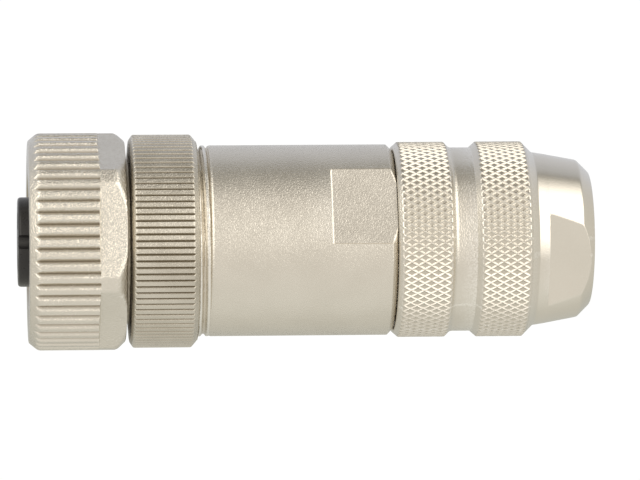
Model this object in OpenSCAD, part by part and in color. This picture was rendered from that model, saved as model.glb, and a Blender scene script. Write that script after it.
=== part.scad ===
// Circular cable connector with an M12 coupling nut, shielded, for field wiring.
// All lengths are in millimetres. The axis is Z. The cable end face lies at z = 0
// and the mating face points towards +Z.

/* [Clamping nut] */
// How much more the knurling measures across than the barrel
clamp_over = 0.42; // [0.2:0.02:1]
// Overall length
clamp_len = 18.22; // [17.5:0.01:19]
// Height of the chamfer from the knurling down to the polished cone
nose_step = 1; // [0.8:0.05:1.2]
// Radial fall of the polished cone towards the cable
cone_fall = 0.74; // [0.5:0.01:1]
// Size of the chamfer round the end face
nose_chamfer = 1.12; // [0.8:0.01:1.3]
// Distance from the end face to the large end of the cone
nose_len = 5.27; // [5:0.01:5.6]
// Depth of the two nose flats below the small end of the cone
nose_flat_depth = 0.78; // [0.4:0.01:1]
// Length of the nose flats
nose_flat_len = 4.29; // [3:0.01:4.8]
// Length of the rear knurled band
rear_band_len = 4.15; // [3.9:0.05:4.5]
// Length of the front knurled band
front_band_len = 4.24; // [3.9:0.02:4.8]
// Depth of the turned groove between the bands
band_groove_depth = 0.53; // [0.4:0.01:0.6]
// Diamonds round the circumference
diamond_count = 80; // [60:1:84]
// Half rows of diamonds along a band
diamond_rows = 7; // [5:1:8]
// Depth of a diamond pit
diamond_depth = 0.24; // [0.1:0.01:0.3]
// Thickness of the end wall that the thrust washer lies on
end_wall = 2.6; // [2:0.1:3]

/* [Cable clamp] */
// Bore of the cable seal
cable_d = 8; // [7:0.1:8.2]
// Radial room of the cable in the nut
cable_room = 0.3; // [0.2:0.05:0.4]
// Wall of the rubber seal
seal_wall = 0.9; // [0.7:0.05:1]
// Wall of the clamping fingers
finger_wall = 0.95; // [0.8:0.05:1]
// Number of clamping fingers
finger_count = 10; // [6:1:14]
// Width of the slot between two fingers
finger_slot = 0.8; // [0.5:0.1:1.2]
// Length of the collar that carries the fingers
cage_collar = 2.3; // [1.8:0.1:2.6]
// Thickness of the thrust washer
washer_t = 0.8; // [0.6:0.1:1]
// Thickness of the shield ring
shield_t = 1.2; // [0.9:0.1:1.5]

/* [Housing] */
// How much less the barrel measures across than the coupling nut
barrel_under = 2.38; // [2.1:0.02:2.6]
// Length of the barrel
barrel_len = 17.34; // [16:0.01:19]
// Depth of the two barrel flats
barrel_flat_depth = 0.81; // [0.5:0.01:1]
// Length of the barrel flats
barrel_flat_len = 6; // [5:0.1:7]
// Bore of the wiring chamber
chamber_d = 14; // [13.8:0.1:14.4]
// Radial step from the barrel down to the gland thread
gland_step = 1.31; // [1.2:0.01:1.4]
// Length of the gland thread
gland_thread_len = 8.5; // [8:0.1:9]
// Depth of the seat for the cage and the shield ring in the gland
clamp_seat_depth = 3.75; // [3.5:0.05:4]
// Length of the union thread
union_thread_len = 4.35; // [4:0.05:4.6]
// Thickness of the wall between the clamp bore and the wiring chamber
chamber_wall = 6.6; // [5:0.1:7]

/* [Union ring] */
// How much less the ring measures across than the coupling nut
union_under = 0.36; // [0:0.02:0.5]
// Wall of the ring round the union thread
union_wall = 0.87; // [0.8:0.01:1]
// Gap between the barrel and the ring
union_gap = 0.69; // [0.4:0.01:1]
// Thickness of the lip that pulls the carrier flange
union_lip = 1.34; // [1:0.01:1.6]
// Number of fine ribs
union_ribs = 100; // [80:1:110]
// Width of the notch between two fine ribs
union_notch_w = 0.2; // [0.15:0.01:0.3]
// Depth of that notch
union_notch_depth = 0.17; // [0.1:0.01:0.2]

/* [Contact carrier] */
// Diameter of the carrier flange
flange_d = 15.8; // [15:0.1:16.4]
// Thickness of the carrier flange
flange_t = 1.3; // [1:0.1:1.8]
// Length of the spigot inside the housing
spigot_len = 4.3; // [4:0.1:4.6]
// Width of the two lugs that stop the carrier from turning
lug_w = 2; // [1.5:0.1:3]
// Diameter of the plastic insert
insert_d = 8.25; // [8.1:0.05:8.35]
// How far the insert stands past the coupling nut
insert_reach = 0.94; // [0.5:0.01:1.5]
// Circle that the contacts lie on
pole_circle_d = 5.66; // [5.4:0.02:5.8]
// Diameter of a mating pin
pin_d = 1; // [0.8:0.05:1.1]
// Width of the coding keyway
key_w = 1.3; // [1:0.1:1.6]
// Depth of the coding keyway
key_depth = 0.5; // [0.3:0.05:0.6]

/* [Terminals] */
// Diameter of the terminal block
block_d = 12.6; // [12.2:0.1:13]
// Length of the terminal block
block_len = 8.9; // [8:0.1:10]
// Circle that the terminal tubes lie on
terminal_circle_d = 7.2; // [7:0.1:7.4]
// Outer diameter of a terminal tube
terminal_d = 2.9; // [2.7:0.1:3]
// Bore for the wire
wire_d = 1.8; // [1.4:0.1:2]
// Thread diameter of a terminal screw
terminal_screw_d = 1.6; // [1.4:0.1:1.8]

/* [Coupling nut] */
// Diameter over the ribs
coupling_d = 20; // [19.6:0.1:21]
// Overall length without the rear boss
coupling_len = 8.98; // [8.7:0.01:10]
// Depth of the hexagon below the ribs
hex_depth = 1; // [0.5:0.05:1.2]
// Length of the hexagon
hex_len = 2.65; // [2.3:0.05:3]
// Number of ribs
rib_count = 54; // [40:1:60]
// Width of the groove between two ribs
rib_groove_w = 0.45; // [0.3:0.05:0.6]
// Depth of that groove
rib_groove_depth = 0.3; // [0.2:0.05:0.4]
// Nominal diameter of the coupling thread
coupling_thread_d = 12; // [11.9:0.05:12.1]
// Pitch of the coupling thread
coupling_pitch = 1; // [0.95:0.05:1.1]
// Diameter of the boss that rests on the union ring
boss_d = 15.2; // [14.4:0.1:16]
// Height of that boss
boss_len = 0.22; // [0.1:0.01:0.4]
// Axial play of the nut
nut_play = 0.6; // [0.4:0.1:0.7]
// Thickness of the retaining ring
ring_t = 0.7; // [0.6:0.05:0.8]

/* [Fits] */
// Radial clearance of a screwed or turning fit
turning_fit = 0.05; // [0.03:0.01:0.08]
// Clearance of a piece pushed into its seat
seat_fit = 0.03; // [0.02:0.01:0.05]
// Clearance between pieces that pass each other
free_gap = 0.15; // [0.1:0.01:0.2]

/* [Hidden] */
$fn = 96;
past = 1;              // how far a cutting tool runs past the surface it cuts
edge = 0.3;            // small chamfer on plain edges

// Directions about the axis, as angles from +X
nose_flat_turn = -107.4;
barrel_flat_turn = -67.5;
hex_turn = -83.2;
rib_turn = -94.2;
key_turn = -90;
lug_turn = 0;

// Cable clamp, from the cable outwards and forwards
cable_hole_r = cable_d / 2 + cable_room;
washer_hole_r = cable_d / 2 + 0.1;
seal_r = cable_d / 2 + seal_wall;
finger_in_r = seal_r + free_gap;
finger_out_r = finger_in_r + finger_wall;
clamp_bore_r = finger_out_r + free_gap;
collar_in_r = cable_hole_r + 2 * cable_room;
washer_z = end_wall;
seal_z = washer_z + washer_t;
cage_z = seal_z + free_gap;
cage_taper = 0.5;      // how much a finger's tip is drawn in
finger_root = 0.5;     // closed stretch between the slots and the collar
shield_tongues = 12;
shield_tongue_w = 0.5;
shield_tongue_h = 0.6;

// Clamping nut
barrel_d = coupling_d - barrel_under;
clamp_r = (barrel_d + clamp_over) / 2;
cone_large_r = clamp_r - nose_step;
cone_small_r = cone_large_r - cone_fall;
nose_flat_af = 2 * (cone_small_r - nose_flat_depth);
groove_r = clamp_r - band_groove_depth;
groove_ramp = 0.75;    // length of the chamfer from the rear band down to the groove
rear_band_z = nose_len + nose_step;
groove_z = rear_band_z + rear_band_len + groove_ramp;
front_band_z = clamp_len - band_groove_depth - front_band_len;
groove_end_z = front_band_z - band_groove_depth;
band_lap = 0.1;        // overlap of a knurled band with the turned body
band_step = 0.08;      // height of the step between a band's chamfer and the groove
mouth_chamfer = 0.4;

// Housing
barrel_r = barrel_d / 2;
barrel_flat_af = barrel_d - 2 * barrel_flat_depth;
clamp_gap = 0.07;      // gap between the clamping nut and the barrel
barrel_z = clamp_len + clamp_gap;
barrel_end_z = barrel_z + barrel_len;
barrel_chamfer = 0.48;
gland_r = barrel_r - gland_step;
gland_z = barrel_z - gland_thread_len;
clamp_seat_z = gland_z + clamp_seat_depth;
chamber_r = chamber_d / 2;
chamber_z = clamp_seat_z + chamber_wall;
union_r = (coupling_d - union_under) / 2;
union_bore_r = union_r - union_wall;
union_thread_r = union_bore_r - turning_fit;
housing_end_z = barrel_end_z + union_thread_len;
thread_relief = 0.1;
wire_passage_r = collar_in_r + free_gap;

// Shield ring and cage, back from their seat in the housing
shield_z = clamp_seat_z - shield_t;
collar_z = shield_z - cage_collar;
finger_len = collar_z - cage_z;
seal_len = finger_len;

// Union ring
union_z = barrel_end_z + union_gap;
flange_z = housing_end_z;
lip_z = flange_z + flange_t;
union_end_z = lip_z + union_lip;
union_face = 0.25;     // radial width of the narrow rear face
union_face_edge = 0.11;
union_rear_chamfer = 0.52;
union_rear_chamfer_len = 0.45;
union_front_chamfer = 0.45;
union_front_chamfer_len = 0.35;

// Coupling nut and what holds it
coupling_r = coupling_d / 2;
hex_af = coupling_d - 2 * hex_depth;
boss_z = union_end_z;
coupling_z = boss_z + boss_len;
coupling_end_z = coupling_z + coupling_len;
hex_end_z = coupling_z + hex_len;
rear_chamfer = 1.05;
front_chamfer_r = 0.7;
front_chamfer_z = 0.87;
thread_height = 1.0825 * coupling_pitch;   // twice the height of an ISO thread
minor_r = (coupling_thread_d - thread_height) / 2;
thread_mouth = 0.7;
collar_r = minor_r - free_gap;
collar_step = 0.35;    // height of the sleeve's collar over its neck
neck_r = collar_r - collar_step;
ring_in_r = neck_r + 2 * turning_fit;
ring_hold = 0.55;      // how far the ring reaches into the nut
ring_out_r = minor_r + ring_hold;
ring_room = 0.4;       // room for the ring to spread when it is pushed in
ring_groove_r = ring_out_r + ring_room;
journal_over = 0.3;    // how much the journal stands over the ring
journal_r = ring_out_r + journal_over;
lip_bore_r = journal_r + 2 * turning_fit;
journal_len = 0.75;    // length of the journal inside the nut
journal_end_z = coupling_z + journal_len;
counterbore_end_z = journal_end_z + 2 * turning_fit;
ring_wall = 0.6;       // wall of the nut behind the ring
ring_z = counterbore_end_z + ring_wall;
ring_gap = 65;         // opening of the retaining ring, as an angle
collar_z0 = ring_z + ring_t + nut_play;
collar_len = 0.9;
collar_end_z = collar_z0 + collar_len;

// Carrier
insert_r = insert_d / 2;
insert_step = 0.175;   // height of the insert's body over its front
insert_body_r = insert_r + insert_step;
sleeve_bore_r = insert_body_r + seat_fit;
spigot_r = chamber_r - turning_fit;
spigot_z = flange_z - spigot_len;
flange_r = flange_d / 2;
insert_end_z = coupling_end_z + insert_reach;
insert_round = 0.3;
insert_seal_r = (collar_r - insert_body_r - seat_fit) / 2;
land_len = 2 * insert_seal_r + edge;
housing_seal_r = 0.45;
seal_groove_room = 0.1;
housing_seal_z = spigot_z + spigot_len / 2;
seal_squeeze = 0.07;
lug_h = 0.8;
lug_end_r = flange_r - turning_fit;

// Contacts
pole_count = 4;
pole_r = pole_circle_d / 2;
function pole_angle(i) = key_turn + 45 + 90 * (i - 1);
pin_lead = 0.2;        // radial room of a mating pin in the insert
pin_hole_r = pin_d / 2 + pin_lead;
pin_hole_back = 0.04;  // how far a contact hole ends above the coupling nut's face
pin_hole_len = insert_reach - pin_hole_back;
socket_r = 0.9;
socket_bore_r = pin_d / 2 + 0.01;
socket_bore_len = 5.5;
socket_len = 7;
shank_r = 0.45;
shank_lap = 1;         // overlap of the shank and the terminal tube
pocket_r = socket_r + seat_fit;
socket_end_z = insert_end_z - pin_hole_len - turning_fit;
slit_w = 0.2;
slit_len = 4.4;

// Terminals
terminal_r = terminal_d / 2;
terminal_pos_r = terminal_circle_d / 2;
block_r = block_d / 2;
block_z = spigot_z - block_len;
block_front_wall = 0.4;
terminal_inset = 0.5;  // how deep a terminal tube lies in the block
terminal_z = block_z + terminal_inset;
terminal_end_z = spigot_z - block_front_wall;
wire_bore_len = 4;
screw_from_end = 2.2;  // distance of the screw from the tube's end
screw_z = terminal_z + screw_from_end;
screw_r = terminal_screw_d / 2;
screw_head_step = 0.35;
screw_head_r = screw_r + screw_head_step;
wire_squeeze = 0.4;    // distance of the screw's tip from the tube's axis
screw_tip_at = terminal_pos_r + wire_squeeze;
screw_head_at = terminal_pos_r + terminal_r + seat_fit;
screw_head_end = block_r - free_gap;
screw_slot_w = 0.35;
screw_slot_depth = 0.4;

// Body of revolution from a closed list of [radius, height] points
module turned(profile) {
    rotate_extrude() polygon(profile);
}

// O-ring around the axis
module o_ring(ring_r, section_r, z) {
    rotate_extrude() translate([ring_r, z]) circle(section_r, $fn = 32);
}

// Everything beyond one flat whose outward normal points along +X
module beyond_flat(distance, from_z, to_z) {
    translate([distance, -coupling_d, from_z])
        cube([coupling_d, 2 * coupling_d, to_z - from_z]);
}

// Two opposite spanner flats
module two_flats(across, turn, from_z, to_z) {
    for (side = [0, 180]) rotate(turn + side) beyond_flat(across / 2, from_z, to_z);
}

// Straight V groove along the axis that comes to a point at its rear end. The tool
// reaches as far above the rib tops as the groove goes below them, so it is twice as
// wide there.
module rib_groove() {
    top_w = 2 * rib_groove_w;
    top_r = coupling_r + rib_groove_depth;
    low_r = coupling_r - rib_groove_depth;
    front_z = coupling_end_z + past;
    full_z = hex_end_z + rib_groove_depth;
    point_z = hex_end_z - rib_groove_depth;
    polyhedron(
        points = [
            [top_r, 0, point_z],
            [top_r, -top_w / 2, full_z], [top_r, top_w / 2, full_z], [low_r, 0, full_z],
            [top_r, -top_w / 2, front_z], [top_r, top_w / 2, front_z], [low_r, 0, front_z]
        ],
        faces = [
            [0, 1, 2], [0, 3, 1], [0, 2, 3],
            [1, 4, 5, 2], [1, 3, 6, 4], [2, 5, 6, 3],
            [4, 6, 5]
        ]
    );
}

module coupling_nut() {
    color("silver") difference() {
        turned([
            [lip_bore_r, boss_z], [boss_d / 2, boss_z], [boss_d / 2, coupling_z],
            [coupling_r - rear_chamfer, coupling_z], [coupling_r, coupling_z + rear_chamfer],
            [coupling_r, coupling_end_z - front_chamfer_z],
            [coupling_r - front_chamfer_r, coupling_end_z],
            [minor_r + thread_mouth, coupling_end_z], [minor_r, coupling_end_z - thread_mouth],
            [minor_r, ring_z + ring_t + seat_fit], [ring_groove_r, ring_z + ring_t + seat_fit],
            [ring_groove_r, ring_z - seat_fit], [minor_r, ring_z - seat_fit],
            [minor_r, counterbore_end_z], [lip_bore_r, counterbore_end_z]
        ]);
        for (i = [0:5]) rotate(hex_turn + 60 * i)
            beyond_flat(hex_af / 2, coupling_z - past, hex_end_z);
        for (i = [0:rib_count - 1]) rotate(rib_turn + i * 360 / rib_count) rib_groove();
    }
}

// Open spring ring in the coupling nut, hooked behind the collar of the sleeve
module retaining_ring() {
    color("dimgray") rotate(ring_gap / 2) rotate_extrude(angle = 360 - ring_gap) polygon([
        [ring_in_r, ring_z], [ring_out_r, ring_z],
        [ring_out_r, ring_z + ring_t], [ring_in_r, ring_z + ring_t]
    ]);
}

module carrier_sleeve() {
    groove_in_r = spigot_r - 2 * housing_seal_r - seal_groove_room;
    groove_half = housing_seal_r + seal_groove_room;
    color("lightsteelblue") union() {
        turned([
            [sleeve_bore_r, spigot_z], [spigot_r - edge, spigot_z], [spigot_r, spigot_z + edge],
            [spigot_r, housing_seal_z - groove_half], [groove_in_r, housing_seal_z - groove_half],
            [groove_in_r, housing_seal_z + groove_half], [spigot_r, housing_seal_z + groove_half],
            [spigot_r, flange_z], [flange_r, flange_z], [flange_r, lip_z],
            [journal_r, lip_z], [journal_r, journal_end_z], [neck_r, journal_end_z],
            [neck_r, collar_z0], [collar_r, collar_z0], [collar_r, collar_end_z],
            [sleeve_bore_r, collar_end_z]
        ]);
        for (side = [0, 180]) rotate(lug_turn + side) intersection() {
            translate([spigot_r - edge, -lug_w / 2, flange_z - lug_h])
                cube([flange_d, lug_w, lug_h + flange_t / 2]);
            cylinder(h = lip_z, r = lug_end_r);
        }
    }
}

module contact_insert() {
    land_z = collar_end_z + land_len;
    color([0.07, 0.07, 0.08]) difference() {
        turned([
            [0, spigot_z], [insert_body_r, spigot_z], [insert_body_r, land_z],
            [insert_r, land_z], [insert_r, insert_end_z - insert_round],
            [insert_r - insert_round / 3, insert_end_z - insert_round / 3],
            [insert_r - insert_round, insert_end_z], [0, insert_end_z]
        ]);
        for (i = [1:pole_count]) rotate(pole_angle(i)) translate([pole_r, 0, 0]) {
            translate([0, 0, spigot_z - past])
                cylinder(h = insert_end_z - pin_hole_len - spigot_z + past, r = pocket_r);
            translate([0, 0, spigot_z]) cylinder(h = insert_end_z, r = pin_hole_r);
        }
        rotate(key_turn) translate([insert_r - key_depth, -key_w / 2, land_z])
            cube([insert_d, key_w, insert_end_z]);
    }
}

module insert_seal() {
    color("dimgray")
        o_ring(insert_body_r + seat_fit + insert_seal_r, insert_seal_r,
               collar_end_z + insert_seal_r);
}

module terminal_block() {
    color([0.16, 0.16, 0.17]) difference() {
        turned([
            [0, block_z], [block_r - edge, block_z], [block_r, block_z + edge],
            [block_r, spigot_z], [0, spigot_z]
        ]);
        for (i = [1:pole_count]) rotate(pole_angle(i)) {
            translate([terminal_pos_r, 0, block_z - past])
                cylinder(h = block_len - block_front_wall + past, r = terminal_r + seat_fit);
            translate([pole_r, 0, block_z])
                cylinder(h = block_len + past, r = shank_r + seat_fit);
            translate([terminal_pos_r, 0, screw_z]) rotate([0, 90, 0])
                cylinder(h = block_r, r = screw_head_r + turning_fit);
        }
    }
}

// Turned contact: spring socket, shank and screw terminal, at the +X side
module contact() {
    difference() {
        union() {
            translate([pole_r, 0, terminal_end_z - shank_lap])
                cylinder(h = socket_end_z - terminal_end_z, r = shank_r);
            translate([pole_r, 0, socket_end_z - socket_len])
                cylinder(h = socket_len, r = socket_r);
            translate([terminal_pos_r, 0, terminal_z])
                cylinder(h = terminal_end_z - terminal_z, r = terminal_r);
        }
        translate([pole_r, 0, socket_end_z - socket_bore_len])
            cylinder(h = socket_bore_len + past, r = socket_bore_r);
        translate([pole_r - slit_w / 2, -socket_r - past, socket_end_z - slit_len])
            cube([slit_w, 2 * (socket_r + past), slit_len + past]);
        translate([terminal_pos_r, 0, terminal_z - past])
            cylinder(h = wire_bore_len + past, r = wire_d / 2);
        translate([terminal_pos_r, 0, screw_z]) rotate([0, 90, 0])
            cylinder(h = block_r, r = screw_r + turning_fit);
    }
}

// Slotted screw that presses on the wire, at the +X side
module terminal_screw() {
    translate([0, 0, screw_z]) difference() {
        rotate([0, 90, 0]) union() {
            translate([0, 0, screw_tip_at])
                cylinder(h = screw_head_end - screw_tip_at, r = screw_r);
            translate([0, 0, screw_head_at])
                cylinder(h = screw_head_end - screw_head_at, r = screw_head_r);
        }
        translate([screw_head_end - screw_slot_depth, -screw_slot_w / 2, -block_r])
            cube([block_r, screw_slot_w, block_d]);
    }
}

module contact_at(i) {
    color("goldenrod") rotate(pole_angle(i)) contact();
}

module terminal_screw_at(i) {
    color("lightgray") rotate(pole_angle(i)) terminal_screw();
}

// Outline of the fine ribs: each notch runs from beyond the ring down to its bottom
module notched_outline() {
    step = 360 / union_ribs;
    over = union_notch_depth;
    half = asin(union_notch_w / union_r);
    polygon([for (i = [0:union_ribs - 1], side = [-1, 0, 1])
        let (
            r = side == 0 ? union_r - union_notch_depth : union_r + over,
            a = i * step + side * half
        ) [r * cos(a), r * sin(a)]
    ]);
}

module union_ring() {
    color("silver") intersection() {
        turned([
            [union_bore_r, union_z], [union_r - union_rear_chamfer - union_face, union_z],
            [union_r - union_rear_chamfer, union_z + union_face_edge],
            [union_r, union_z + union_face_edge + union_rear_chamfer_len],
            [union_r, union_end_z - union_front_chamfer_len],
            [union_r - union_front_chamfer, union_end_z], [lip_bore_r, union_end_z],
            [lip_bore_r, lip_z], [union_bore_r, lip_z]
        ]);
        translate([0, 0, union_z - past])
            linear_extrude(union_end_z - union_z + 2 * past) notched_outline();
    }
}

module housing_seal() {
    color("dimgray")
        o_ring(chamber_r - seal_squeeze - housing_seal_r, housing_seal_r, housing_seal_z);
}

module housing() {
    color("silver") difference() {
        turned([
            [clamp_bore_r, gland_z], [gland_r - edge, gland_z], [gland_r, gland_z + edge],
            [gland_r, barrel_z], [barrel_r - barrel_chamfer, barrel_z],
            [barrel_r, barrel_z + barrel_chamfer], [barrel_r, barrel_end_z - edge],
            [barrel_r - edge, barrel_end_z], [union_thread_r, barrel_end_z + thread_relief],
            [union_thread_r, housing_end_z - edge], [union_thread_r - edge, housing_end_z],
            [chamber_r, housing_end_z], [chamber_r, chamber_z], [wire_passage_r, chamber_z],
            [wire_passage_r, clamp_seat_z], [clamp_bore_r, clamp_seat_z]
        ]);
        two_flats(barrel_flat_af, barrel_flat_turn, barrel_z - past, barrel_z + barrel_flat_len);
        for (side = [0, 180]) rotate(lug_turn + side) intersection() {
            translate([chamber_r - past, -lug_w / 2 - turning_fit, flange_z - lug_h - turning_fit])
                cube([flange_d, lug_w + 2 * turning_fit, lug_h + past]);
            cylinder(h = lip_z, r = flange_r + turning_fit);
        }
    }
}

// Metal ring with tongues that touch the cable braid
module shield_ring() {
    color("darkgoldenrod") difference() {
        turned([
            [collar_in_r, shield_z], [clamp_bore_r - turning_fit, shield_z],
            [clamp_bore_r - turning_fit, clamp_seat_z], [collar_in_r, clamp_seat_z]
        ]);
        for (i = [0:shield_tongues - 1]) rotate(i * 360 / shield_tongues)
            translate([0, -shield_tongue_w / 2, shield_z - past])
                cube([collar_in_r + shield_tongue_h, shield_tongue_w, shield_t + 2 * past]);
    }
}

// Plastic cage whose fingers squeeze the seal onto the cable
module clamping_cage() {
    color("darkseagreen") difference() {
        turned([
            [finger_in_r, cage_z], [finger_out_r - cage_taper, cage_z],
            [finger_out_r, cage_z + 2 * cage_taper], [finger_out_r, collar_z],
            [clamp_bore_r - turning_fit, collar_z], [clamp_bore_r - turning_fit, shield_z],
            [collar_in_r, shield_z], [collar_in_r, collar_z], [finger_in_r, collar_z]
        ]);
        for (i = [0:finger_count - 1]) rotate(i * 360 / finger_count)
            translate([seal_r, -finger_slot / 2, cage_z - past])
                cube([clamp_bore_r, finger_slot, finger_len - finger_root + past]);
    }
}

module cable_seal() {
    rib = 0.12;        // depth of the shallow outer rings
    pitch = seal_len / 8;
    color([0.12, 0.12, 0.12]) turned(concat(
        [[cable_d / 2, seal_z], [seal_r - rib, seal_z]],
        [for (i = [1:7]) [i % 2 == 0 ? seal_r - rib : seal_r, seal_z + i * pitch]],
        [[seal_r - rib, seal_z + seal_len], [cable_d / 2, seal_z + seal_len]]
    ));
}

module thrust_washer() {
    color("whitesmoke") turned([
        [washer_hole_r, washer_z], [clamp_bore_r - free_gap, washer_z],
        [clamp_bore_r - free_gap, seal_z], [washer_hole_r, seal_z]
    ]);
}

// Solid disc with a knurled rim. The rim's points lie on a grid of half diamonds:
// where column and row add up to an even number a ridge crosses another, and
// where they add up to an odd number a pit is deepest.
module diamond_band(rear, knurl_z, knurl_len, front) {
    columns = 2 * diamond_count;
    row_h = knurl_len / diamond_rows;
    knurl = [for (k = [0:diamond_rows]) knurl_z + k * row_h];
    levels = concat([rear[1]], knurl, [front[1]]);
    last = len(levels) - 1;
    function even(i, k) = (i + k) % 2 == 0;
    function rim_r(i, k) =
        k == 0 ? rear[0] : k == last ? front[0] : even(i, k) ? clamp_r : clamp_r - diamond_depth;
    function at(i, k) = k * columns + i % columns;
    points = [for (k = [0:last], i = [0:columns - 1])
        let (r = rim_r(i, k), a = i * 360 / columns) [r * cos(a), r * sin(a), levels[k]]
    ];
    sides = [for (k = [0:last - 1], i = [0:columns - 1], half = [0, 1])
        even(i, k)
            ? (half == 0 ? [at(i, k), at(i + 1, k + 1), at(i + 1, k)]
                         : [at(i, k), at(i, k + 1), at(i + 1, k + 1)])
            : (half == 0 ? [at(i, k), at(i, k + 1), at(i + 1, k)]
                         : [at(i + 1, k), at(i, k + 1), at(i + 1, k + 1)])
    ];
    ends = [
        [for (i = [0:columns - 1]) at(i, 0)],
        [for (i = [columns - 1:-1:0]) at(i, last)]
    ];
    polyhedron(points = points, faces = concat(ends, sides));
}

module clamping_nut() {
    core_r = gland_r + turning_fit + free_gap;
    groove_rim_r = groove_r + band_step;
    color("silver") difference() {
        union() {
            turned([
                [0, 0], [cone_small_r - nose_chamfer, 0], [cone_small_r, nose_chamfer],
                [cone_large_r, nose_len], [core_r, nose_len], [core_r, groove_z - band_lap],
                [groove_r, groove_z - band_lap], [groove_r, groove_end_z + band_lap],
                [core_r, groove_end_z + band_lap], [core_r, clamp_len - band_lap],
                [0, clamp_len - band_lap]
            ]);
            diamond_band([cone_large_r - band_lap, nose_len - band_lap / 2],
                         rear_band_z, rear_band_len, [groove_rim_r, groove_z]);
            diamond_band([groove_rim_r, groove_end_z],
                         front_band_z, front_band_len, [groove_rim_r, clamp_len]);
        }
        two_flats(nose_flat_af, nose_flat_turn, -past, nose_flat_len);
        turned([
            [0, -past], [cable_hole_r + edge + past, -past], [cable_hole_r, edge],
            [cable_hole_r, end_wall], [clamp_bore_r, end_wall],
            [clamp_bore_r, gland_z - free_gap], [gland_r + turning_fit, gland_z - free_gap],
            [gland_r + turning_fit, clamp_len - mouth_chamfer],
            [gland_r + turning_fit + mouth_chamfer + past, clamp_len + past],
            [0, clamp_len + past]
        ]);
    }
}

coupling_nut();
retaining_ring();
carrier_sleeve();
contact_insert();
insert_seal();
terminal_block();
contact_at(1);  // contact_1
contact_at(2);  // contact_2
contact_at(3);  // contact_3
contact_at(4);  // contact_4
terminal_screw_at(1);  // terminal_screw_1
terminal_screw_at(2);  // terminal_screw_2
terminal_screw_at(3);  // terminal_screw_3
terminal_screw_at(4);  // terminal_screw_4
union_ring();
housing_seal();
housing();
shield_ring();
clamping_cage();
cable_seal();
thrust_washer();
clamping_nut();
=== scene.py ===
import math
import bpy
import numpy as np
from mathutils import Matrix, Vector


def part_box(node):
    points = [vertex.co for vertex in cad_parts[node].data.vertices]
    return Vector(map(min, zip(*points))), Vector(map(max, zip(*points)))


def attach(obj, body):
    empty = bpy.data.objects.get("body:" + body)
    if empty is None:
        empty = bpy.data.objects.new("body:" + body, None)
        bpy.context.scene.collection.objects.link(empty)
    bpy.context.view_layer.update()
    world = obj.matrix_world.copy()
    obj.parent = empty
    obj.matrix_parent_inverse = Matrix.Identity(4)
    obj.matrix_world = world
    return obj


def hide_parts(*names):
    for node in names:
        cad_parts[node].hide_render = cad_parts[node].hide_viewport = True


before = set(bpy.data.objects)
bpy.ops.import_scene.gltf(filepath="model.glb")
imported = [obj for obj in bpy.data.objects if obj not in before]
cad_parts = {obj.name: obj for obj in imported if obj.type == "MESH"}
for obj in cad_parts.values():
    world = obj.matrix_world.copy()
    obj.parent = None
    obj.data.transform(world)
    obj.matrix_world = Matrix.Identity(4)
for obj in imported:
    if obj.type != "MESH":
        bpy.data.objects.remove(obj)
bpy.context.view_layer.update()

scene = bpy.context.scene


# Camera. It stands half a metre in front of the connector and looks a little down its
# axis from the mating side, so the axis runs across the frame with the insert at the left.
CAMERA_AWAY, CAMERA_LENS, AIM_HEIGHT = 0.5, 304.2, 0.02484
CAMERA_TURN, CAMERA_ROLL = math.radians(4.15), math.radians(0.4)
look_at = Vector((0, 0, AIM_HEIGHT))
back = Vector((0, -math.cos(CAMERA_TURN), math.sin(CAMERA_TURN)))
level = Vector((0, -math.sin(CAMERA_TURN), -math.cos(CAMERA_TURN)))
rise = back.cross(level)
right = level * math.cos(CAMERA_ROLL) - rise * math.sin(CAMERA_ROLL)
camera = bpy.data.objects.new("camera", bpy.data.cameras.new("camera"))
scene.collection.objects.link(camera)
scene.camera = camera
camera.data.lens = CAMERA_LENS
camera.data.clip_start = 0.01
camera.rotation_mode = "QUATERNION"
camera.rotation_quaternion = Matrix((right, back.cross(right), back)).transposed().to_quaternion()
camera.location = look_at + back * CAMERA_AWAY


# Housing. A barrel turned from brass bar, nickel plated with a fine grain, with two
# spanner flats next to the clamping nut and a cut thread at each end.
MM = 0.001
FULL_TURN = 2 * math.pi


class Shade:
    """A shader socket; sums, differences and products with it add Math nodes."""

    def __init__(self, tree, socket=None):
        self.tree, self.socket = tree, socket

    def node(self, kind, settings=None, inputs=None, out=0):
        """The output of a new node, made with its settings and then its socket values."""
        made = self.tree.nodes.new("ShaderNode" + kind)
        for name, value in (settings or {}).items():
            if name == "stops":
                elements = made.color_ramp.elements
                while len(elements) < len(value):
                    elements.new(1)
                for element, (place, colour) in zip(elements, value):
                    element.position = place
                    element.color = (*colour, 1)
            else:
                setattr(made, name, value)
        for name, value in (inputs or {}).items():
            if isinstance(value, Shade):
                self.tree.links.new(value.socket, made.inputs[name])
            else:
                made.inputs[name].default_value = value
        return Shade(self.tree, made.outputs[out])

    def math(self, operation, *values):
        return self.node("Math", {"operation": operation}, dict(enumerate(values)))

    def __add__(self, other):
        return self.math("ADD", self, other)

    def __sub__(self, other):
        return self.math("SUBTRACT", self, other)

    def __rsub__(self, other):
        return self.math("SUBTRACT", other, self)

    def __mul__(self, other):
        return self.math("MULTIPLY", self, other)

    __radd__, __rmul__ = __add__, __mul__

    def clip(self, low, high):
        """0 at low and 1 at high, straight between them."""
        return self.node("MapRange", {}, {"Value": self, "From Min": low, "From Max": high})

    def mix(self, first, second):
        """From the first colour to the second as this goes from 0 to 1."""
        colours = {6: first, 7: second}
        for key, value in colours.items():
            if not isinstance(value, Shade):
                colours[key] = (*value, 1)
        return self.node("Mix", {"data_type": "RGBA"}, {0: self, **colours}, 2)


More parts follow.
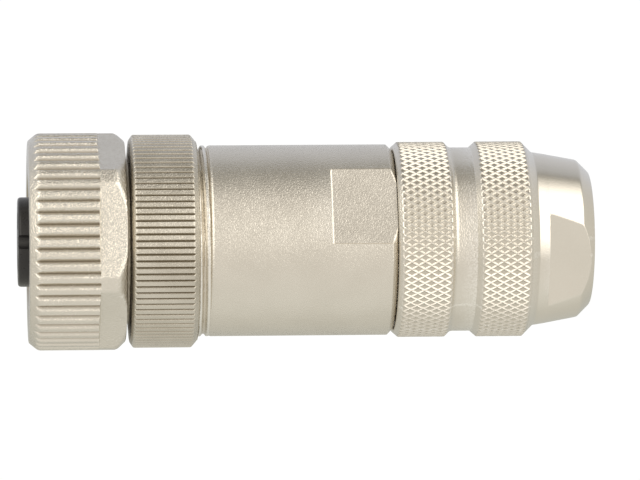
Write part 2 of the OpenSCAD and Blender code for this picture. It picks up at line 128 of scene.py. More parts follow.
def material(name, constants):
    """A material with these Principled constants, its shader, and a start for the maths."""
    made = bpy.data.materials.new(name)
    made.use_nodes = True
    shader = made.node_tree.nodes["Principled BSDF"]
    for socket, value in constants.items():
        shader.inputs[socket].default_value = value
    return made, shader, Shade(made.node_tree)


def feed(node, **values):
    """Links varying values to a node's sockets."""
    for socket, value in values.items():
        value.tree.links.new(value.socket, node.inputs[socket.replace("_", " ")])


# What metal() reads as the relief of a surface: a painted dark line, the shade where a
# face meets a neighbouring part, also drawn along the edges of the flats; a milled face
# with a weaker grain; a plain plated face; and a crest that is rubbed bright.
SEAM_SHADE, MILLED, PLAIN, RUBBED = 0.2, 0.76, 0.8, 1.0


def metal(name, pale, dark, gloss, grain, speck_size=0.15, pit_shade=None, worn=(0.92, 0.90, 0.86)):
    """Plated or bare metal: a mottled colour, a grain of specks of this size in mm in its
    bump and gloss, and edges rubbed to the worn colour. The pit colour is painted shade:
    where the relief is low, in the hollows of knurls, ribs, notches and threads and on the
    dark seam lines, the colour is painted darker, towards the pit colour."""
    made, shader, shade = material(name, {"Metallic": 1.0})
    place = shade.node("TexCoord", out=3)
    cloud = shade.node("TexNoise", {}, {"Vector": place, "Scale": 260, "Detail": 2})
    speck = shade.node("TexNoise", {}, {"Vector": place, "Scale": 1.2 / (speck_size * MM),
                                        "Detail": 1})
    edge = shade.node("NewGeometry", out=7)
    rough = speck.clip(0.3, 0.7)
    colour = cloud.clip(0.35, 0.65).mix(dark, pale)
    colour = (speck.clip(0.5, 0.72) * 0.2).mix(colour, worn)
    colour = (edge.clip(0.52, 0.6) * speck.clip(0.3, 0.6)).mix(colour, worn)
    if pit_shade:
        relief = shade.node("Attribute", {"attribute_name": "relief"}, out=2)
        # Painted shade: low relief, in hollows, thread roots and seam lines, turns the colour to
        # the darker pit colour.
        colour = relief.clip(0.1, 0.7).mix(pit_shade, colour)
        colour = relief.clip(0.9, RUBBED).mix(colour, worn)
        rough = rough * (relief.clip(0.68, 0.78) * 0.6 + 0.4)
    bump = {"Height": rough, "Strength": grain, "Distance": 0.00005}
    feed(shader, Base_Color=colour, Roughness=gloss + (speck - 0.5) * 0.2 + (cloud - 0.5) * 0.08,
         Normal=shade.node("Bump", {}, bump))
    return made


def rounded(corners):
    """Outline through (radius, height, fillet, step) corners, in mm. A corner gets its
    fillet, and the side after it is divided into steps."""
    points = []
    for k, (radius, height, fillet, step) in enumerate(corners):
        here = Vector((radius, height))
        before = Vector(corners[k - 1][:2]) - here
        after = Vector(corners[(k + 1) % len(corners)][:2]) - here
        if fillet:
            start = here + before.normalized() * min(fillet, before.length / 2)
            end = here + after.normalized() * min(fillet, after.length / 2)
            for s in (0, 0.25, 0.5, 0.75, 1):
                points.append([start * (1 - s) ** 2 + here * 2 * s * (1 - s) + end * s * s, 0])
        else:
            points.append([here, 0])
        points[-1][1] = step
    outline = []
    for (here, step), (there, _) in zip(points, points[1:] + points[:1]):
        parts = max(1, round((there - here).length / step)) if step else 1
        outline += [here.lerp(there, i / parts) for i in range(parts)]
    return np.array(outline)


def revolve(name, outline, angles, shape=None):
    """Mesh of an outline turned about the axis. shape(r, z, angle) gives the radius and
    the relief of each point, and angles are where the surface is divided."""
    radius, height, angle = np.broadcast_arrays(
        outline[:, :1], outline[:, 1:], np.sort(np.array(angles))[None, :]
    )
    relief = np.ones_like(radius)
    if shape:
        radius, relief = shape(radius, height, angle)
    points = np.stack([radius * np.cos(angle), radius * np.sin(angle), height], -1) * MM
    index = np.arange(radius.size).reshape(radius.shape)
    beside, above = np.roll(index, -1, 1), np.roll(index, -1, 0)
    quads = np.stack([index, beside, np.roll(above, -1, 1), above], -1).reshape(-1, 4)
    mesh = bpy.data.meshes.new(name)
    mesh.from_pydata(points.reshape(-1, 3).tolist(), [], quads.tolist())
    mesh.attributes.new("relief", "FLOAT", "POINT").data.foreach_set("value", relief.ravel())
    mesh.polygons.foreach_set("use_smooth", [True] * len(mesh.polygons))
    mesh.set_sharp_from_angle(angle=math.radians(38))
    piece = bpy.data.objects.new(name, mesh)
    scene.collection.objects.link(piece)
    return piece


def thread(height, angle, pitch):
    """0 at the root and 1 at the crest of a right-hand thread with straight flanks."""
    turn = (height / pitch - angle / FULL_TURN) % 1
    return np.clip(1.25 - abs(turn - 0.5) * 3.2, 0, 1)


def soft_min(first, second, width):
    """The lower of two, with the corner between them rounded over a width."""
    share = np.clip(0.5 + 0.5 * (second - first) / width, 0, 1)
    return second + (first - second) * share - width * share * (1 - share)


def flats(angle, distance, turn, count):
    """Radius of a prism with this many flats, the first facing the turn angle."""
    side = (angle - turn + math.pi / count) % (FULL_TURN / count) - math.pi / count
    return distance / np.cos(np.clip(side, -1.2, 1.2))


def around(count, extra=()):
    """Evenly spaced angles, and extra ones."""
    return sorted({*(i * FULL_TURN / count for i in range(count)),
                   *(a % FULL_TURN for a in extra)})


def cut_edges(turn, half, margins):
    """Angles beside both edges of a cut half this wide, and of the one opposite."""
    return [turn + math.pi * k + side * (half + margin) for k in (0, 1) for side in (-1, 1)
            for margin in margins]


def finish(piece, made, body, slot, *nodes):
    """Gives a piece its material and its body, and hides the CAD nodes that it stands for."""
    piece.data.materials.clear()
    piece.data.materials.append(made)
    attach(piece, body)
    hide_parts(*nodes)


low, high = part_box("housing")
gland_z, housing_end = low.z / MM, high.z / MM
nut_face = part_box("clamping_nut")[1].z / MM
SEAT_R, THROAT_R, CHAMBER_R = 6.15, 5.05, 7.0
BARREL_R, GLAND_R, UNION_R = 8.81, 7.5, 8.9
GLAND_CHAMFER, REAR_CHAMFER, UNION_CHAMFER, UNION_LEN = 0.4, 0.48, 0.3, 4.75
GLAND_PITCH, GLAND_THREAD, GLAND_RUNOUT = 1.0, 0.6, 0.7
UNION_PITCH, UNION_THREAD, UNION_START = 0.75, 0.42, 0.12
SLOT_R, SLOT_HALF = 7.95, math.asin(1.05 / 7)
barrel_z, barrel_end = nut_face + 0.07, housing_end - UNION_LEN
seat_z, chamber_z, slot_z = gland_z + 3.75, gland_z + 10.35, housing_end - 0.85
BARREL_FLAT, BARREL_FLAT_TURN = 8.0, math.radians(-67.5)
flat_end = barrel_z + 6
RAMP_LEN, RAMP_SLOPE = 0.13, 0.36
housing_outline = rounded([
    (SEAT_R, gland_z, 0.05, 0), (GLAND_R - GLAND_CHAMFER, gland_z, 0.05, 0.1),
    (GLAND_R, gland_z + GLAND_CHAMFER, 0, 0.08), (GLAND_R, barrel_z - 0.01, 0, 0),
    (BARREL_R - REAR_CHAMFER, barrel_z, 0.05, 0.06),
    (BARREL_R, barrel_z + REAR_CHAMFER, 0.06, 0.05),
    (BARREL_R, barrel_z + REAR_CHAMFER + 0.1, 0, 0),
    (BARREL_R, flat_end - RAMP_LEN - 0.05, 0, 0.05), (BARREL_R, flat_end - RAMP_LEN, 0, 0.03),
    (BARREL_R, flat_end, 0, 0), (BARREL_R, flat_end + 0.03, 0, 2),
    (BARREL_R, barrel_end - 0.17, 0.04, 0), (BARREL_R - 0.06, barrel_end, 0.02, 0),
    (UNION_R - 0.1, barrel_end + 0.06, 0, 0.05),
    (UNION_R, housing_end - UNION_CHAMFER, 0, 0.08),
    (UNION_R - UNION_CHAMFER, housing_end, 0.04, 0), (CHAMBER_R, housing_end, 0.05, 0),
    (CHAMBER_R, slot_z, 0, 0), (CHAMBER_R, slot_z - 0.01, 0, 0), (CHAMBER_R, chamber_z, 0, 0),
    (THROAT_R, chamber_z, 0, 0), (THROAT_R, seat_z, 0, 0), (SEAT_R, seat_z, 0, 0),
])


def housing_shape(radius, height, angle):
    """Cuts the flats, both threads and the two slots for the carrier's lugs. The small
    margins on heights put the end of each cut between two rows of the outline."""
    outside = radius > CHAMBER_R + 0.05
    gland = outside & (height > gland_z) & (height < barrel_z - GLAND_RUNOUT)
    gland_turn = thread(height, angle, GLAND_PITCH)
    cut = np.where(gland, GLAND_R - GLAND_THREAD * (1 - gland_turn), radius)
    # Painted shade: the roots of both threads get low relief, which metal() paints darker.
    relief = np.where(gland, gland_turn, PLAIN)
    union = outside & (height > barrel_end + 0.03)
    union_turn = thread(height - UNION_START, angle, UNION_PITCH)
    depth = UNION_THREAD * np.clip((height - barrel_end) / 0.9, 0.75, 1)
    cut = np.where(union, UNION_R - depth * (1 - union_turn), cut)
    relief = np.where(union, 0.5 + 0.5 * union_turn, relief)
    # Painted shade: a dark line at the barrel's rear end, where it meets the clamping nut.
    relief = np.where(outside & (abs(height - barrel_z) < 0.06), SEAM_SHADE, relief)

    ramp = RAMP_SLOPE * np.clip(height - flat_end + RAMP_LEN, 0, RAMP_LEN)
    wall = np.where(height > flat_end + 0.01, BARREL_R, 0)
    flat = flats(angle, BARREL_FLAT, BARREL_FLAT_TURN, 2) + ramp + wall
    on_flat = outside & (height > barrel_z - 0.005) & (height < flat_end + 0.05)
    relief = np.where(on_flat & (flat < cut + 0.003), MILLED, relief)
    # The same painted dark line runs along the edges of the flats.
    relief = np.where(on_flat & (abs(cut - flat) < 0.003), SEAM_SHADE, relief)
    cut = np.where(on_flat, np.minimum(cut, flat), cut)

    radius = np.where(outside, np.minimum(radius, cut), radius)
    side = (angle + math.pi / 2) % math.pi - math.pi / 2
    in_slot = (abs(side) < SLOT_HALF) & (height > slot_z - 0.005) & ~outside
    return np.where(in_slot, SLOT_R, radius), relief


flat_edges = cut_edges(BARREL_FLAT_TURN, math.acos(BARREL_FLAT / BARREL_R), (-0.004, 0, 0.004))
slot_edges = cut_edges(0, SLOT_HALF, (-0.001, 0.001))
housing = revolve("housing_shell", housing_outline, around(240, flat_edges + slot_edges),
                  housing_shape)
finish(housing, metal("barrel_nickel", (0.80, 0.765, 0.70), (0.76, 0.725, 0.66), 0.24, 0.31,
                      0.16, pit_shade=(0.50, 0.41, 0.28)), "housing", "housing_nickel", "housing")


# What lies inside the housing's rear end: a tinned ring with tongues that touch the braid
# of the cable, a moulded cage with ten fingers, the rubber seal that it squeezes, and the
# slippery washer that the nut turns on.
def moulded(name, pale, dark, gloss, grain, sheen=0.0):
    """Plastic or rubber: a faintly clouded colour, a fine moulding texture, and a painted
    highlight that makes the edges a little lighter."""
    made, shader, shade = material(name, {"Metallic": 0.0, "Specular IOR Level": 0.5,
                                          "Sheen Weight": sheen})
    place = shade.node("TexCoord", out=3)
    cloud = shade.node("TexNoise", {}, {"Vector": place, "Scale": 420, "Detail": 3})
    pore = shade.node("TexNoise", {}, {"Vector": place, "Scale": 7000, "Detail": 2})
    edge = shade.node("NewGeometry", out=7)
    bright = tuple(min(1, c * 1.6 + 0.02) for c in pale)
    colour = cloud.clip(0.3, 0.7).mix(dark, pale)
    # Painted highlight: convex edges are painted lighter.
    colour = (edge.clip(0.53, 0.62) * 0.4).mix(colour, bright)
    bump = {"Height": pore, "Strength": grain, "Distance": 0.00003}
    feed(shader, Base_Color=colour, Roughness=gloss + (pore - 0.5) * 0.25 + (cloud - 0.5) * 0.1,
         Normal=shade.node("Bump", {}, bump))
    return made


def dress(made, *names):
    """Gives carried-over CAD nodes a material."""
    for name in names:
        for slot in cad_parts[name].material_slots:
            slot.material = made


dress(metal("tinned_brass", (0.74, 0.68, 0.54), (0.66, 0.60, 0.46), 0.34, 0.3), "shield_ring")
dress(moulded("cage_nylon", (0.10, 0.21, 0.15), (0.07, 0.16, 0.12), 0.5, 0.4), "clamping_cage")
dress(moulded("seal_rubber", (0.035, 0.034, 0.033), (0.022, 0.022, 0.022), 0.62, 0.6, 0.15),
      "cable_seal", "housing_seal", "insert_seal")
dress(moulded("washer_acetal", (0.80, 0.79, 0.74), (0.74, 0.73, 0.68), 0.42, 0.3),
      "thrust_washer")


# Clamping nut. Turned brass, bright nickel plated: a knurled band either side of a plain
# groove, a polished cone with two spanner flats, and a bore that runs on the gland thread.
CLAMP_R, GROOVE_R, CONE_R, NOSE_R = 9.02, 8.49, 8.02, 7.28
CORE_R, CABLE_HOLE_R, GLAND_BORE, BORE_THREAD = 8.3, 4.3, GLAND_R + 0.05, 0.5
NOSE_CHAMFER, CONE_END, END_WALL, THREAD_Z = 1.12, 5.27, 2.6, 9.64
BAND_FOOT, BAND_HEAD, MOUTH_LEN = 5.95, 18.0, 0.4
REAR_BAND, FRONT_BAND = (6.27, 10.42), (13.45, nut_face - 0.53)
NOSE_FLAT, NOSE_FLAT_TURN, NOSE_FLAT_END = 6.5, math.radians(-107.4), 4.29
clamp_outline = rounded([
    (CABLE_HOLE_R + 0.3, 0, 0.05, 0), (NOSE_R - NOSE_CHAMFER, 0, 0.1, 0.1),
    (NOSE_R, NOSE_CHAMFER, 0.15, 0.25), (7.86, NOSE_FLAT_END - 0.06, 0, 0.03),
    (7.873, NOSE_FLAT_END + 0.03, 0, 0), (CONE_R, CONE_END, 0.1, 0),
    (CORE_R + 0.4, BAND_FOOT, 0, 0), (CORE_R, BAND_FOOT + 0.03, 0, 0), (CORE_R, BAND_HEAD, 0, 0),
    (GLAND_BORE + MOUTH_LEN, BAND_HEAD + 0.1, 0, 0),
    (GLAND_BORE, nut_face - MOUTH_LEN, 0, 0.15), (GLAND_BORE, THREAD_Z, 0, 0),
    (SEAT_R, THREAD_Z, 0, 0), (SEAT_R, END_WALL, 0, 0), (CABLE_HOLE_R, END_WALL, 0, 0),
    (CABLE_HOLE_R, 0.3, 0, 0),
])


def nose_shape(radius, height, angle):
    """Cuts the two spanner flats into the cone, and the thread into the bore."""
    rise = np.clip((height - NOSE_FLAT_END + 0.06) / 0.09, 0, 1) ** 2
    flat = flats(angle, NOSE_FLAT, NOSE_FLAT_TURN, 2) + rise * (CONE_R - NOSE_FLAT)
    cut = (radius > 6) & (height < NOSE_FLAT_END + 0.04)
    radius = np.where(cut, soft_min(radius, flat, 0.03), radius)
    threaded = (height > THREAD_Z + 0.26) & (height < nut_face - MOUTH_LEN - 0.01)
    bore = (abs(radius - GLAND_BORE) < 0.01) & threaded
    turn = thread(height, angle, GLAND_PITCH)
    # Painted shade: the thread's roots get low relief, which metal() paints darker.
    return np.where(bore, radius + BORE_THREAD * turn, radius), np.where(bore, 1 - turn, PLAIN)


nose = revolve("clamping_nut_body", clamp_outline, around(360), nose_shape)
finish(nose, metal("polished_nickel", (0.82, 0.785, 0.72), (0.80, 0.765, 0.70), 0.15, 0.06,
                   pit_shade=(0.55, 0.48, 0.38)), "clamping_nut", "clamp_nickel", "clamping_nut")

DIAMONDS, DIAMOND_DEPTH, DIAMOND_ROWS, BAND_ROWS = 80, 0.12, 12, 42
RIM_R, RIDGE_FOOT, RIDGE_RISE = CLAMP_R - 0.32, 0.58, 0.36
CHAMFERED = 0.85
knurled = metal("knurl_nickel", (0.81, 0.775, 0.71), (0.78, 0.745, 0.68), 0.20, 0.2,
                0.16, pit_shade=(0.70, 0.66, 0.585), worn=(0.97, 0.95, 0.91))


def diamond_band(name, bottom, top, below, above):
    """A knurled band from bottom to top, between the corners below and above it. The
    chamfers were cut after the knurl was rolled, so they are smooth."""
    step = (top - bottom) / BAND_ROWS
    outline = rounded([*below, (CLAMP_R, bottom, 0, step), (CLAMP_R, top, 0, step), *above])

    def knurl(radius, height, angle):
        across, along = angle * DIAMONDS / FULL_TURN, (height - bottom) / (step * DIAMOND_ROWS)
        ridges = [abs((across + side * along) % 1 - 0.5) * 2 for side in (-1, 1)]
        ridge = np.clip((np.maximum(*ridges) - RIDGE_FOOT) / RIDGE_RISE, 0, 1)
        ridge = ridge * ridge * (3 - 2 * ridge)
        rolled = np.minimum(radius, CLAMP_R - DIAMOND_DEPTH * (1 - ridge))
        cut = np.where(radius > RIM_R, rolled, radius)
        sunk = np.clip((radius - cut) / DIAMOND_DEPTH, 0, 1)
        on_band = (height > bottom - 0.01) & (height < top + 0.01)
        # Painted shade: the knurl's hollows are painted darker by their depth, and the nut's end
        # face next to the housing gets the dark seam line; the crests are rubbed bright.
        relief = np.where(sunk > 0, 1 - sunk, np.where(on_band, RUBBED, CHAMFERED))
        return cut, np.where(height > nut_face - 0.1, SEAM_SHADE, relief)

    band = revolve(name, outline, around(960), knurl)
    finish(band, knurled, "clamping_nut", "clamp_nickel", "clamping_nut")


diamond_band("rear_knurl", *REAR_BAND,
             [(CORE_R, 6.1, 0, 0), (8.66, 5.91, 0, 0.1)],
             [(GROOVE_R, 11.03, 0, 0), (8.25, 11.03, 0, 0)])
diamond_band("front_knurl", *FRONT_BAND,
             [(8.25, 11.0, 0, 0), (GROOVE_R, 11.0, 0, 0), (GROOVE_R, 12.93, 0.26, 0.1)],
             [(GROOVE_R + 0.08, nut_face, 0.05, 0), (8.2, nut_face, 0, 0)])


# Carrier sleeve. Turned brass, nickel plated, with a flange, a neck for the spring ring
# and two lugs; it holds the insert, and the union ring pulls its flange to the housing.
dress(metal("sleeve_nickel", (0.78, 0.745, 0.68), (0.72, 0.685, 0.62), 0.28, 0.4),
      "carrier_sleeve")


# Contact insert. Moulded in black glass-filled nylon, with four contact holes that lead
# the pins in, a keyway on its side and a shallow ring round the holes.
low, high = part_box("contact_insert")
insert_z, insert_end = low.z / MM, high.z / MM
INSERT_R, INSERT_BODY_R, LAND_Z = 4.125, 4.3, insert_end - 4.99
RING_IN, RING_OUT, RING_DEPTH = 1.23, 1.62, 0.08
POLE_R, POLES, HOLE_R, HOLE_LEAD, POCKET_R = 2.83, 4, 0.7, 0.28, 0.93
KEY_HALF = 0.65
insert = revolve("insert_front", rounded([
    (0.02, insert_z, 0, 0), (INSERT_BODY_R, insert_z, 0.1, 0),
    (INSERT_BODY_R, LAND_Z, 0.05, 0), (INSERT_R, LAND_Z, 0, 0), (INSERT_R, insert_end, 0.32, 0),
    (RING_OUT, insert_end, 0.03, 0), (RING_OUT - 0.07, insert_end - RING_DEPTH, 0, 0),
    (RING_IN + 0.07, insert_end - RING_DEPTH, 0, 0), (RING_IN, insert_end, 0.03, 0),
    (0.02, insert_end, 0, 0),
]), around(128))


def carve(piece, name, outline, place, scale=(1, 1, 1)):
    """Takes a turned shape out of a piece, with its axis at a place."""
    cutter = revolve(name, outline, around(32))
    cutter.location = Vector(place) * MM
    cutter.scale = scale
    difference = piece.modifiers.new(name, "BOOLEAN")
    difference.operation, difference.solver = "DIFFERENCE", "EXACT"
    difference.object = cutter
    return cutter


hole = rounded([
    (0.001, insert_z - 1, 0, 0), (POCKET_R, insert_z - 1, 0, 0),
    (POCKET_R, insert_end - 0.9, 0, 0), (HOLE_R, insert_end - 0.9, 0, 0),
    (HOLE_R, insert_end - 0.18, 0, 0), (HOLE_R + HOLE_LEAD, insert_end + 0.1, 0, 0),
    (0.001, insert_end + 0.1, 0, 0),
])
keyway = rounded([
    (0.001, LAND_Z, 0, 0), (KEY_HALF, LAND_Z, 0, 0), (KEY_HALF, insert_end + 1, 0, 0),
    (0.001, insert_end + 1, 0, 0),
])
cutters = []
for pole in range(POLES):
    turn = math.radians(-45 + 90 * pole)
    place = (POLE_R * math.cos(turn), POLE_R * math.sin(turn), 0)
    cutters.append(carve(insert, "pole", hole, place))
cutters.append(carve(insert, "keyway", keyway, (0, -INSERT_R - 0.05, 0), (1, 0.85, 1)))
graph = bpy.context.evaluated_depsgraph_get()
whole = insert.data
insert.data = bpy.data.meshes.new_from_object(insert.evaluated_get(graph))
insert.modifiers.clear()
insert.data.set_sharp_from_angle(angle=math.radians(30))
bpy.data.meshes.remove(whole)
for cutter in cutters:
    bpy.data.objects.remove(cutter)
nylon = moulded("insert_nylon", (0.020, 0.019, 0.020), (0.013, 0.012, 0.013), 0.3, 0.25)
finish(insert, nylon, "carrier", "insert_plastic", "contact_insert")


# Contacts, terminals and their block. Gold-plated turned sockets with a slit spring, each
# with a screw terminal behind it, in a block of the same nylon.
CONTACTS = range(1, POLES + 1)
dress(metal("contact_gold", (0.86, 0.66, 0.30), (0.80, 0.58, 0.24), 0.2, 0.2,
            worn=(0.95, 0.80, 0.45)), *(f"contact_{k}" for k in CONTACTS))
dress(metal("zinc_steel", (0.66, 0.67, 0.69), (0.58, 0.58, 0.59), 0.32, 0.35),
      *(f"terminal_screw_{k}" for k in CONTACTS))
dress(moulded("block_nylon", (0.055, 0.055, 0.06), (0.035, 0.035, 0.038), 0.45, 0.4),
      "terminal_block")


# Union ring. Turned brass, satin nickel, with fine rolled ribs between plain chamfers; its
# thread runs on the housing, and its lip pulls the carrier in.
low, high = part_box("union_ring")
union_z, union_end = low.z / MM, high.z / MM
RING_R, RING_BORE, LIP_BORE = 9.82, 8.95, 6.409
FINE_RIBS, NOTCH_HALF, NOTCH_DEPTH, RING_THREAD = 100, 0.12, 0.15, 0.26
RING_RIM_R, CHAMFER_FOOT_R = 9.25, 9.55
# Relief of the painted shade at the foot of the front chamfer, and of the plain faces.
RING_FOOT_SHADE, RING_PLAIN = 0.1, 0.9
lip_z = union_end - 1.34
ring_outline = rounded([
    (RING_BORE + 0.25, union_z, 0.03, 0), (RING_R - 0.77, union_z, 0.02, 0),
    (RING_R - 0.52, union_z + 0.11, 0.06, 0.09), (RING_R, union_z + 0.56, 0.12, 0.06),
    (RING_R, union_z + 0.8, 0, 1.2), (RING_R, union_end - 0.66, 0, 0.06),
    (RING_R, union_end - 0.43, 0.14, 0.09), (RING_R - 0.5, union_end - 0.1, 0.06, 0.3),
    (8.2, union_end - 0.06, 0, 0), (8.1, union_end, 0.05, 0.5), (LIP_BORE, union_end, 0.05, 0),
    (LIP_BORE, lip_z, 0.05, 0), (RING_BORE, lip_z, 0, 0.24), (RING_BORE, union_z + 0.25, 0, 0.1),
])


def rib_angles(count, turn, parts):
    """Angles that divide each of the ribs at these parts of its width."""
    return [turn + (rib + part) * FULL_TURN / count for rib in range(count) for part in parts]


def off_middle(angle, turn, count, radius):
    """How far a point lies from the middle of the nearest of the grooves, in mm."""
    return (((angle - turn) * count / FULL_TURN + 0.5) % 1 - 0.5) * FULL_TURN / count * radius


def ring_shape(radius, height, angle):
    """Presses the fine ribs into the rim, and cuts the thread into the bore."""
    offset = off_middle(angle, 0, FINE_RIBS, RING_R)
    notch = RING_R - NOTCH_DEPTH * (1 - abs(offset) / NOTCH_HALF)
    rim = radius > RING_RIM_R
    cut = np.where(rim, soft_min(radius, notch, 0.015), radius)
    ribbed = rim & (height > union_z + 0.5) & (height < union_end - 0.3)
    # Painted shade: the notches are painted darker by their depth, and the foot of the front
    # chamfer is painted dark.
    relief = np.where(ribbed, 0.75 - (radius - cut) / NOTCH_DEPTH, RING_PLAIN)
    front_foot = (height > union_end - 0.3) & (radius < CHAMFER_FOOT_R)
    relief = np.where(front_foot, RING_FOOT_SHADE, relief)
    bore = (abs(radius - RING_BORE) < 0.02) & (height > union_z + 0.3) & (height < lip_z - 0.2)
    turn = thread(height - UNION_START, angle, UNION_PITCH)
    # Painted shade: the thread's roots get low relief, which metal() paints darker.
    return np.where(bore, radius + RING_THREAD * turn, cut), np.where(bore, 1 - turn, relief)


NOTCH_PARTS = (-0.5, -0.25, -0.2, -0.15, -0.08, 0, 0.08, 0.15, 0.2, 0.25)
ring = revolve("union_ring_ribbed", ring_outline,
               around(1, rib_angles(FINE_RIBS, 0, NOTCH_PARTS)), ring_shape)
finish(ring, metal("union_nickel", (0.70, 0.665, 0.595), (0.62, 0.585, 0.515), 0.28, 0.45,
                   0.17, pit_shade=(0.36, 0.32, 0.255), worn=(0.82, 0.79, 0.73)),
       "union_ring", "union_nickel", "union_ring")


# Retaining ring. Spring steel wire of square section, left bare and lightly oiled, which
# snaps into the sleeve's neck and keeps the coupling nut on it.
dress(metal("spring_steel", (0.46, 0.46, 0.47), (0.38, 0.37, 0.37), 0.35, 0.4,
            worn=(0.62, 0.62, 0.62)), "retaining_ring")


# Coupling nut. Turned from brass bar and nickel plated: coarse rolled ribs, a hexagon for
# a torque spanner behind them, an M12 thread inside and a boss that rests on the ring.
low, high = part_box("coupling_nut")
boss_z, front_z = low.z / MM, high.z / MM
body_z = boss_z + 0.3
COUPLING_R, BOSS_R, FACE_R = 10.0, 7.6, 8.8
REAR_IN, REAR_LEN, FRONT_IN, FRONT_LEN = 0.78, 0.82, 0.7, 0.87
HEX_FLAT, HEX_TURN, HEX_END = 9.0, math.radians(-83.2), body_z + 2.45
SOFT_CORNER, CRISP_CORNER, SHOULDER_SLOPE = 0.25, 0.03, 8
RIBS, RIB_TURN, RIB_HALF, RIB_DEPTH = 54, math.radians(-93.9), 0.35, 0.32
MINOR_R, M12_PITCH, M12_THREAD, MOUTH = 5.459, 1.0, 0.5, 0.7
GROOVE_OUT, GROOVE_Z, GROOVE_WIDTH = 6.409, boss_z + 1.64, 0.76
JOURNAL_END = boss_z + 1.07
coupling_outline = rounded([
    (GROOVE_OUT, boss_z, 0.05, 0), (BOSS_R, boss_z, 0.05, 0), (BOSS_R, body_z, 0.03, 0.3),
    (COUPLING_R - REAR_IN, body_z, 0.1, 0.07), (COUPLING_R, body_z + REAR_LEN, 0.3, 0.3),
    (COUPLING_R, HEX_END - 0.01, 0, 0), (COUPLING_R, HEX_END + 0.01, 0, 0.045),
    (COUPLING_R, HEX_END + 0.4, 0, 1.2), (COUPLING_R, front_z - FRONT_LEN, 0.25, 0.08),
    (COUPLING_R - FRONT_IN, front_z, 0.15, 0), (MINOR_R + MOUTH, front_z, 0.06, 0.1),
    (MINOR_R, front_z - MOUTH, 0, 0.2), (MINOR_R, GROOVE_Z + 0.9, 0, 0),
    (MINOR_R, GROOVE_Z + GROOVE_WIDTH, 0, 0), (GROOVE_OUT, GROOVE_Z + GROOVE_WIDTH, 0, 0),
    (GROOVE_OUT, GROOVE_Z, 0, 0), (MINOR_R, GROOVE_Z, 0, 0), (MINOR_R, JOURNAL_END, 0, 0),
    (GROOVE_OUT, JOURNAL_END, 0, 0),
])


def coupling_shape(radius, height, angle):
    """Cuts the hexagon, the ribs and the thread."""
    outside = radius > BOSS_R + 0.1
    corner = np.where(height < body_z + 0.95, SOFT_CORNER, CRISP_CORNER)
    shoulder = SHOULDER_SLOPE * np.clip(height - HEX_END, 0, 1)
    hexagon = soft_min(radius, flats(angle, HEX_FLAT, HEX_TURN, 6) + shoulder, corner)
    cut = np.where(outside & (height < HEX_END + 0.7), np.minimum(radius, hexagon), radius)

    offset = off_middle(angle, RIB_TURN, RIBS, COUPLING_R)
    groove = COUPLING_R - RIB_DEPTH * (1 - abs(offset) / RIB_HALF)
    ribbed = outside & (height > HEX_END)
    ribs = np.where(ribbed, soft_min(cut, groove, 0.05), cut)
    sunk = (cut - ribs) / RIB_DEPTH
    # Painted shade: the grooves between the ribs are painted darker by their depth, and the end
    # faces inside FACE_R get the dark seam line.
    relief = np.where(ribbed & (height < front_z - 0.3), 1.15 - 1.1 * sunk, CHAMFERED)
    relief = np.where(radius < FACE_R, SEAM_SHADE, np.clip(relief, 0.1, 0.88))

    bore = (radius < MINOR_R + MOUTH) & (height > GROOVE_Z + 0.95)
    turn = thread(height, angle, M12_PITCH)
    cut = np.where(bore, np.maximum(ribs, MINOR_R + M12_THREAD * turn), ribs)
    # Painted shade: the thread's roots get low relief, which metal() paints darker.
    return cut, np.where(bore, 1 - turn, relief)


RIB_PARTS = (-0.5, -0.41, -0.33, -0.3, -0.26, -0.17, -0.08, 0, 0.08, 0.17, 0.26, 0.3, 0.33, 0.41)
nut = revolve("coupling_nut_ribbed", coupling_outline,
              around(1, rib_angles(RIBS, RIB_TURN, RIB_PARTS)), coupling_shape)
finish(nut, metal("coupling_nickel", (0.80, 0.765, 0.70), (0.77, 0.735, 0.67), 0.22, 0.5,
                  0.17, pit_shade=(0.40, 0.36, 0.29)),
       "coupling_nut", "coupling_nickel", "coupling_nut")


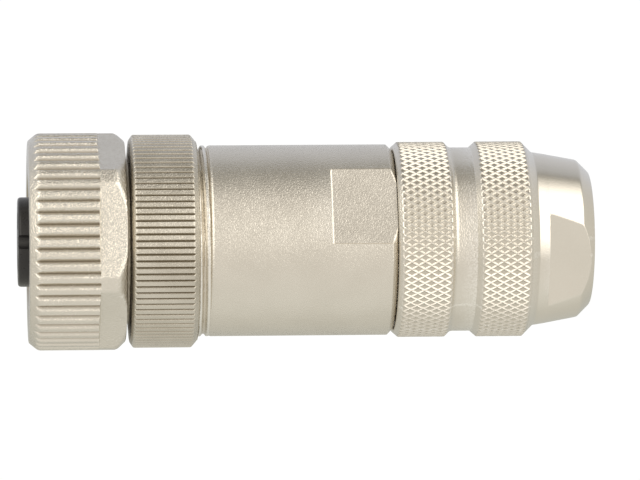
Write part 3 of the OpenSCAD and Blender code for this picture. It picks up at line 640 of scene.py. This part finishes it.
# Light and floor. A pale floor, and a studio of soft panels round the connector, each given
# by its angle about the axis, with a brighter softbox between them. The camera sees white.
PANELS = [
    (-180, (0.50, 0.50, 0.46)), (-150, (0.58, 0.57, 0.51)), (-120, (0.64, 0.62, 0.55)),
    (-90, (0.75, 0.73, 0.66)), (-60, (0.79, 0.76, 0.69)), (-30, (0.79, 0.75, 0.68)),
    (0, (0.79, 0.745, 0.675)), (20, (0.77, 0.73, 0.66)), (40, (0.72, 0.675, 0.61)),
    (60, (0.54, 0.51, 0.46)), (74, (0.42, 0.40, 0.36)), (84, (0.33, 0.315, 0.28)),
    (96, (0.33, 0.315, 0.28)), (108, (0.50, 0.50, 0.50)), (130, (0.60, 0.60, 0.62)),
    (160, (0.66, 0.67, 0.70)), (180, (0.66, 0.67, 0.70)),
]
END_PANELS, SOFTBOX, WHITE = (0.68, 0.65, 0.58), (1.8, 1.71, 1.55), (1.0, 1.0, 1.0)
world = bpy.data.worlds.new("studio")
scene.world = world
world.use_nodes = True
sky = Shade(world.node_tree)
direction = sky.node("TexCoord")
x_part, y_part, z_part = (sky.node("SeparateXYZ", {}, {"Vector": direction}, axis)
                          for axis in range(3))
azimuth = sky.math("ARCTAN2", x_part, y_part * -1) * (1 / FULL_TURN) + 0.5
panels = sky.node("ValToRGB", {"stops": [((a + 180) / 360, c) for a, c in PANELS]},
                  {"Fac": azimuth})
tilt = sky.math("ABSOLUTE", z_part)
studio = tilt.clip(0.55, 0.95).mix(panels, END_PANELS)
degrees = (azimuth - 0.5) * 360
softbox = degrees.clip(-30, 5) * (1 - degrees.clip(66, 98))
softbox = softbox * tilt.clip(0.24, 0.34) * (1 - tilt.clip(0.84, 0.93))
studio = softbox.mix(studio, SOFTBOX)
camera_ray = sky.node("LightPath")
feed(world.node_tree.nodes["Background"], Color=camera_ray.mix(studio, WHITE))

FLOOR = 6.0
floor_mesh = bpy.data.meshes.new("floor")
floor_mesh.from_pydata([(x, y, 0) for x, y in ((-FLOOR, -FLOOR), (FLOOR, -FLOOR), (FLOOR, FLOOR),
                                               (-FLOOR, FLOOR))], [], [(0, 1, 2, 3)])
floor = bpy.data.objects.new("floor", floor_mesh)
scene.collection.objects.link(floor)
floor.visible_glossy = False
floor.visible_shadow = False
paper, shader, shade = material("paper", {"Base Color": (0.9, 0.9, 0.9, 1), "Roughness": 0.9})
lit = shade.node("Emission", {}, {"Strength": 1.06})
matt = Shade(paper.node_tree, shader.outputs[0])
feed(paper.node_tree.nodes["Material Output"],
     Surface=shade.node("MixShader", {}, {0: 0.1, 1: lit, 2: matt}))
floor_mesh.materials.append(paper)

scene.view_settings.view_transform = "Standard"
